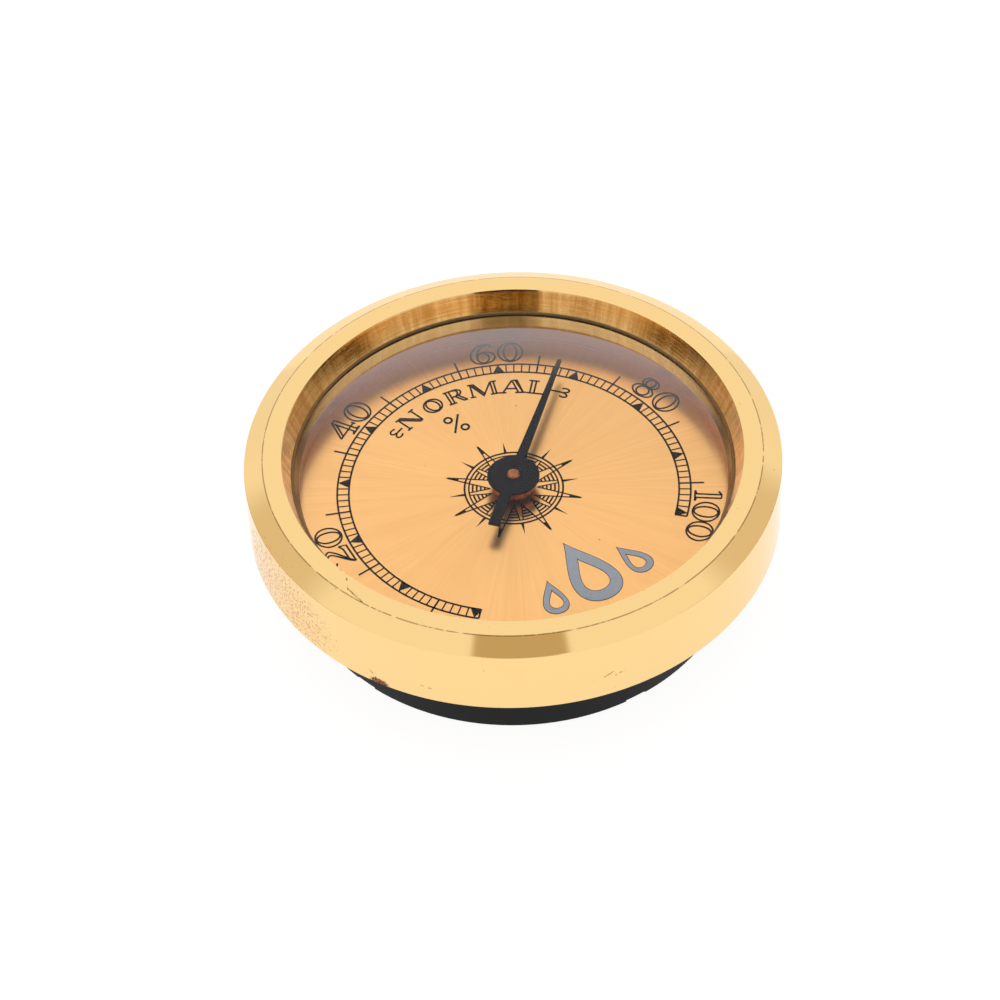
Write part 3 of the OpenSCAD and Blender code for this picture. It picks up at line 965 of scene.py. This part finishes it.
def glyph_two():
    outer = smooth_path([(-0.5, 0.42), (-0.72, 0.62), (-0.5, 0.9), (0.0, 1.0), (0.55, 0.86), (0.78, 0.5),
                         (0.5, 0.08), (0.0, -0.3), (-0.5, -0.66), (-0.85, -0.98)])
    inner = smooth_path([(0.1, 0.96), (0.38, 0.72), (0.4, 0.42), (0.1, 0.02), (-0.4, -0.42), (-0.8, -0.86)])
    return lines(
        outer,
        inner,
        [(-0.86, -0.98), (0.86, -0.98), (0.94, -0.42)],
        [(-0.45, -0.62), (0.55, -0.62), (0.94, -0.42)],
    )


def glyph_one():
    return lines(
        [(-0.18, 0.98), (-0.18, -0.92)],
        [(0.18, 0.98), (0.18, -0.92)],
        [(-0.5, 0.72), (-0.18, 0.98), (0.2, 0.98)],
        [(-0.52, -0.98), (0.52, -0.98)],
        [(-0.52, -0.98), (-0.18, -0.86)],
        [(0.52, -0.98), (0.18, -0.86)],
    )


def letter_n():
    return lines(
        [(-0.95, 1), (-0.95, -1)],
        [(0.95, 1), (0.95, -1)],
        [(-0.95, 1), (0.62, -1), (0.95, -1)],
        [(-1.3, 1), (-0.6, 1), (0.95, -1)],
        [(0.62, 1), (1.3, 1)],
        [(-1.3, -1), (-0.62, -1)],
    )


def letter_o():
    return loops(ellipse((0, 0), 1.0, 1.04), ellipse((0, 0), 0.6, 0.92, lean=14))


def letter_r():
    bowl = smooth_path([(-0.3, 1), (0.35, 1), (0.8, 0.78), (0.86, 0.45), (0.6, 0.12), (0.1, 0.0),
                        (-0.3, 0.0)])
    inside = smooth_path([(0.0, 0.98), (0.42, 0.84), (0.46, 0.4), (0.2, 0.06)])
    return lines(
        [(-0.82, 1), (-0.82, -1)],
        [(-0.42, 1), (-0.42, -1)],
        [(-1.1, 1), (-0.2, 1)],
        [(-1.1, -1), (-0.15, -1)],
        bowl,
        inside,
        [(0.0, 0.0), (0.72, -1), (1.15, -1)],
        [(0.36, 0.06), (1.1, -1)],
    )


def letter_m():
    return lines(
        [(-1.25, 1), (-1.25, -1)],
        [(-1.55, -1), (-0.95, -1)],
        [(-1.55, 1), (-0.95, 1), (0.12, -0.85)],
        [(-1.25, 1), (-0.08, -1), (0.95, 1)],
        [(0.95, 1), (0.95, -1)],
        [(1.3, 1), (1.3, -1)],
        [(0.92, 1), (1.6, 1)],
        [(0.65, -1), (1.6, -1)],
    )


def letter_a():
    return lines(
        [(0.0, 1), (-0.85, -1)],
        [(0.0, 1), (0.62, -1)],
        [(0.06, 1), (0.4, 1), (1.05, -1)],
        [(-0.58, -0.35), (0.42, -0.35)],
        [(-1.2, -1), (-0.52, -1)],
        [(0.3, -1), (1.35, -1)],
    )


def letter_l():
    return lines(
        [(-0.6, 1), (-0.6, -1)],
        [(-0.22, 1), (-0.22, -1)],
        [(-0.9, 1), (0.08, 1)],
        [(-0.9, -1), (0.85, -1), (0.95, -0.5)],
    )


def set_glyph(ink, strokes, radius, clockwise, height, stretch=1.0):
    """Prints a glyph with its top outwards. Stretch makes it wider."""
    turn = math.radians(clockwise)
    out = Vector((math.sin(turn), math.cos(turn)))
    along = Vector((math.cos(turn), -math.sin(turn)))
    centre = out * radius
    half = height / 2
    for path, closed in strokes:
        spots = [centre + along * (p[0] * half * stretch) + out * (p[1] * half) for p in path]
        ink.stroke(spots, LINE, closed)


def numerals():
    """The open-faced numerals 20, 40, 60, 80 and 100."""
    ink = Print()
    tens = {20: glyph_two, 40: glyph_four, 60: glyph_six, 80: glyph_eight}
    digits = []
    for value, first in tens.items():
        digits += [(first, value, -4.25), (glyph_zero, value, 4.25)]
    digits += [(glyph_one, 99.8, -7.4), (glyph_zero, 99.8, -1.0), (glyph_zero, 99.8, 7.0)]
    for digit, value, shift in digits:
        set_glyph(ink, digit(), NUMERAL_R, scale_angle(value) + shift, NUMERAL_H)
    return ink.piece("numerals", "dial_ink")


def comfort_word():
    """The word over the comfort range, letter by letter, with its two flourishes."""
    ink = Print()
    for letter, place, wide in (
        (letter_n, -14.6, 1.08),
        (letter_o, -2.6, 1.08),
        (letter_r, 7.7, 1.02),
        (letter_m, 19.7, 1.08),
        (letter_a, 31.6, 1.22),
        (letter_l, 42.1, 1.24),
    ):
        set_glyph(ink, letter(), WORD_R, place, WORD_H, stretch=wide)
    flourish_r = WORD_R - 0.1 * MM
    lobe = [(0.0, 0.0), (0.26, 0.14), (0.32, 0.34), (0.16, 0.48), (-0.1, 0.46), (-0.16, 0.36)]
    lobe_long = 1.3 * MM
    lobe_wide = 1.1 * MM
    for side, root, tip in ((-1, -20.2, -23.6), (1, 47.4, 53.2)):
        ink.arc(flourish_r, min(root, tip), max(root, tip), LINE)
        for flip in (1, -1):
            spots = []
            for along, out in lobe:
                turn = tip + side * math.degrees(along * lobe_long / WORD_R)
                spots.append(on_dial(flourish_r + flip * out * lobe_wide, turn))
            ink.stroke(smooth_path(spots), LINE)
    return ink.piece("comfort_word", "dial_ink")


def percent_sign():
    """The percent sign under the word."""
    ink = Print()
    thick = 0.2 * MM
    ring_r = 0.33 * MM
    ink.stroke([(-0.72 * MM, 8.43 * MM), (0.71 * MM, 10.29 * MM)], thick)
    for centre in ((-0.42, 10.1), (0.42, 8.6)):
        ring = ellipse(Vector(centre) * MM, ring_r, ring_r)
        ink.stroke(ring, thick, closed=True)
    return ink.piece("percent_sign", "dial_ink")


def compass_rose():
    """The rose round the arbor: eight long points, eight short, rings and arcs."""
    ink = Print()
    ring_out = 4.25
    ring_in = 3.88
    root = 2.0
    long_tip = 6.1
    long_wide = 0.5
    short_tip = 5.6
    short_wide = 0.3
    short_head_wide = 0.36
    long_stops = (5.9, 5.0, ring_out, 3.2, root)
    long_head = 4.9
    short_stops = (ring_in, 3.2, root)
    arc_radii = (3.55, 3.2, 2.85, 2.5)
    arc_line = 0.16 * MM

    def half_turn(tip, wide, radius):
        """Half the angle that a point takes up: it widens from its tip to the middle."""
        return math.degrees(wide * (tip - radius) / (tip - root) / radius)

    def edge(tip, wide, radius, turn, side):
        """A place on one edge of a point."""
        return on_dial(radius * MM, turn + side * half_turn(tip, wide, radius))

    ink.circle(ring_out * MM, 0.17 * MM)
    ink.circle(ring_in * MM, 0.14 * MM)
    for point in range(8):
        turn = 45.0 * point
        short = turn + 22.5
        for side in (-1, 1):
            ink.stroke([edge(long_tip, long_wide, r, turn, side) for r in long_stops], 0.12 * MM)
            ink.stroke([edge(short_tip, short_wide, r, short, side) for r in short_stops], 0.11 * MM)
        base = [edge(long_tip, long_wide, long_head, turn, side) for side in (-1, 1)]
        ink.slab([on_dial(long_tip * MM, turn)] + base)
        base = [edge(short_tip, short_head_wide, ring_out, short, side) for side in (-1, 1)]
        ink.slab([on_dial(short_tip * MM, short)] + base)
        for radius in arc_radii:
            long_half = half_turn(long_tip, long_wide, radius)
            short_half = half_turn(short_tip, short_wide, radius)
            ink.arc(radius * MM, turn + long_half, short - short_half, arc_line)
            ink.arc(radius * MM, short + short_half, turn + 45 - long_half, arc_line)
    return ink.piece("compass_rose", "dial_ink")


def droplet(centre, size, lean=0.0, steps=40):
    """The outline of a water drop, point up."""
    belly = 0.82
    point = 1.6
    tilt = Matrix.Rotation(math.radians(lean), 2)
    path = []
    for step in range(steps):
        turn = 2 * math.pi * step / steps
        wide = math.sin(turn) * math.sin(turn / 2) ** point
        high = math.cos(turn)
        path.append(Vector(centre) + tilt @ Vector((wide * size * belly, high * size)))
    return path


def drop_emblem():
    """A plain emblem of three water drops in silver, with dark keylines."""
    silver = Print()
    keyline = Print(lift=0.004 * MM)
    keyline_w = 0.05 * MM
    hollow = 0.55
    hollow_drop = 0.14
    centre = on_dial(11.6 * MM, 180)
    drops = (
        (Vector((0, 0.1 * MM)), 3.7 * MM, 0),
        (Vector((-4.0 * MM, -0.9 * MM)), 1.9 * MM, -16),
        (Vector((4.0 * MM, -0.9 * MM)), 1.9 * MM, 16),
    )
    for shift, size, lean in drops:
        outer = droplet(centre + shift, size, lean)
        inner = droplet(centre + shift - Vector((0, size * hollow_drop)), size * hollow, lean)
        silver.band(outer, inner, closed=True)
        keyline.stroke(outer, keyline_w, closed=True)
        keyline.stroke(inner, keyline_w, closed=True)
    silver_piece = silver.piece("drop_emblem", "emblem_silver")
    keyline_piece = keyline.piece("drop_keyline", "dial_ink")
    return silver_piece, keyline_piece


# ---------------------------------------------------------------- the object


for node in nodes.values():
    for slot_place, old in enumerate(list(node.data.materials)):
        node.data.materials[slot_place] = FINISHES[old.name.split(".")[0]]

bezel_ring()
spacer_wall()
crystal_dome()
scale_band()
numerals()
comfort_word()
percent_sign()
compass_rose()
drop_emblem()


# ---------------------------------------------------------------- stage and light


FLOOR_GAP = 0.03 * MM
FLOOR_HALF = 3.0
FLOOR_GREY = 0.14
FLOOR_GLOW = 0.92


def floor():
    """A plain pale floor, lit from within so that shadows stay faint."""
    mesh = bpy.data.meshes.new("floor")
    signs = ((-1, -1), (1, -1), (1, 1), (-1, 1))
    mesh.from_pydata([(x * FLOOR_HALF, y * FLOOR_HALF, 0) for x, y in signs], [], [(0, 1, 2, 3)])
    plane = bpy.data.objects.new("floor", mesh)
    bpy.context.scene.collection.objects.link(plane)
    material, tree, shader, _ = finish_of("floor paper")
    shader.inputs["Base Color"].default_value = (FLOOR_GREY, FLOOR_GREY, FLOOR_GREY, 1)
    shader.inputs["Roughness"].default_value = 1.0
    shader.inputs["Specular IOR Level"].default_value = 0.0
    shader.inputs["Emission Color"].default_value = (1, 1, 1, 1)
    shader.inputs["Emission Strength"].default_value = FLOOR_GLOW
    mesh.materials.append(material)
    plane.location.z = cad_low.z - FLOOR_GAP
    return plane


# The directions of the view, and the level direction from the dial towards it
VIEW_RIGHT = Vector((0.8611, -0.5085, 0.0))
VIEW_UP = Vector((0.3679, 0.6230, 0.6904))
VIEW_BACK = Vector((-0.3511, -0.5945, 0.7235))
VIEW_NEAR = Vector((-0.5085, -0.8611, 0.0))


def sky_direction(azimuth, elevation):
    """A direction: azimuth from the front towards the right, and height above level."""
    turn = math.radians(azimuth)
    rise = math.radians(elevation)
    level = VIEW_NEAR * math.cos(turn) + VIEW_RIGHT * math.sin(turn)
    return level * math.cos(rise) + Vector((0, 0, math.sin(rise)))


def cosine(degrees):
    return math.cos(math.radians(degrees))


# Dimmer places in the tent: azimuth, elevation, inner and outer radius in degrees,
# and the share of light that stays
TENT_PATCHES = (
    (-20, 71, 3, 5, 0.55),
    (0, 71, 6, 9, 0.55),
    (20, 71, 3, 5, 0.55),
    (-114, 35, 8, 22, 0.76),
    (114, 35, 8, 22, 0.76),
    (0, 46, 8, 14, 0.12),
)


def studio():
    """Plain white tent light with a few soft grey places, as a light tent has."""
    world = bpy.data.worlds.new("light tent")
    world.use_nodes = True
    bpy.context.scene.world = world
    tree = world.node_tree
    tree.nodes.clear()
    output = tree.nodes.new("ShaderNodeOutputWorld")
    shine = tree.nodes.new("ShaderNodeBackground")
    tree.links.new(shine.outputs[0], output.inputs["Surface"])
    toward = tree.nodes.new("ShaderNodeTexCoord").outputs["Generated"]
    toward = vector_reckon(tree, "NORMALIZE", toward)
    level = 1.0
    for azimuth, elevation, inner, outer, keep in TENT_PATCHES:
        aim = sky_direction(azimuth, elevation)
        facing = vector_reckon(tree, "DOT_PRODUCT", toward, tuple(aim))
        dim = ramp(tree, facing, cosine(outer), cosine(inner), 1.0, keep)
        level = reckon(tree, "MINIMUM", level, dim)
    split = tree.nodes.new("ShaderNodeSeparateXYZ")
    tree.links.new(toward, split.inputs[0])
    level_way = vector_reckon(tree, "NORMALIZE", vector_reckon(tree, "MULTIPLY", toward, (1, 1, 0)))
    ahead = vector_reckon(tree, "DOT_PRODUCT", level_way, tuple(VIEW_NEAR))
    front = ramp(tree, ahead, cosine(72), cosine(56), 0.05, 0.85)
    rear = ramp(tree, ahead, cosine(120), cosine(136), 0.05, 0.95)
    door = ramp(tree, ahead, cosine(15), cosine(13.5), 1.0, 0.07)
    stand = ramp(tree, ahead, cosine(5), cosine(3), 1.0, 0.35)
    low = reckon(tree, "MAXIMUM", front, rear)
    low = reckon(tree, "MULTIPLY", low, reckon(tree, "MULTIPLY", door, stand))
    tent_skirt = math.sin(math.radians(24))
    tent_hem = math.sin(math.radians(10))
    near_level = ramp(tree, split.outputs["Z"], tent_skirt, tent_hem)
    lower = tree.nodes.new("ShaderNodeMix")
    feed(tree, near_level, lower.inputs["Factor"])
    feed(tree, level, lower.inputs["A"])
    feed(tree, low, lower.inputs["B"])
    level = lower.outputs["Result"]
    tree.links.new(level, shine.inputs["Strength"])
    warmth = ramp(tree, level, 0.95, 0.5)
    tint = mix_colour(tree, warmth, (1.0, 0.995, 0.985, 1), (1.05, 0.88, 0.62, 1))
    tree.links.new(tint, shine.inputs["Color"])
    return world


def key_light():
    """A broad soft lamp from behind and above, to the left."""
    distance = 0.6
    lamp = bpy.data.lights.new("key", "AREA")
    lamp.shape = "DISK"
    lamp.size = 0.48
    lamp.energy = 0.2
    lamp.color = (1.0, 0.98, 0.95)
    key = bpy.data.objects.new("key", lamp)
    bpy.context.scene.collection.objects.link(key)
    aim = Vector((0, 0, BEZEL_TOP))
    key.location = aim + sky_direction(-136, 57) * distance
    key.rotation_euler = (aim - key.location).to_track_quat("-Z", "Y").to_euler()
    return key


def camera():
    """A long lens looking down on the dial from the front."""
    lens = bpy.data.cameras.new("camera")
    lens.lens = 142.53
    lens.sensor_width = 36.0
    lens.clip_start = 0.01
    lens.clip_end = 20.0
    eye = bpy.data.objects.new("camera", lens)
    bpy.context.scene.collection.objects.link(eye)
    aim = Vector((-2.656, -2.078, 11.404)) * MM
    distance = 337.64 * MM
    roll = math.radians(-2.338)
    place = aim + VIEW_BACK.normalized() * distance
    right = VIEW_RIGHT * math.cos(roll) + VIEW_UP * math.sin(roll)
    up = VIEW_UP * math.cos(roll) - VIEW_RIGHT * math.sin(roll)
    turn = Matrix((right, up, VIEW_BACK)).transposed()
    eye.matrix_world = Matrix.Translation(place) @ turn.to_4x4()
    bpy.context.scene.camera = eye
    return eye


floor()
studio()
key_light()
camera()
bpy.context.scene.view_settings.view_transform = "Standard"
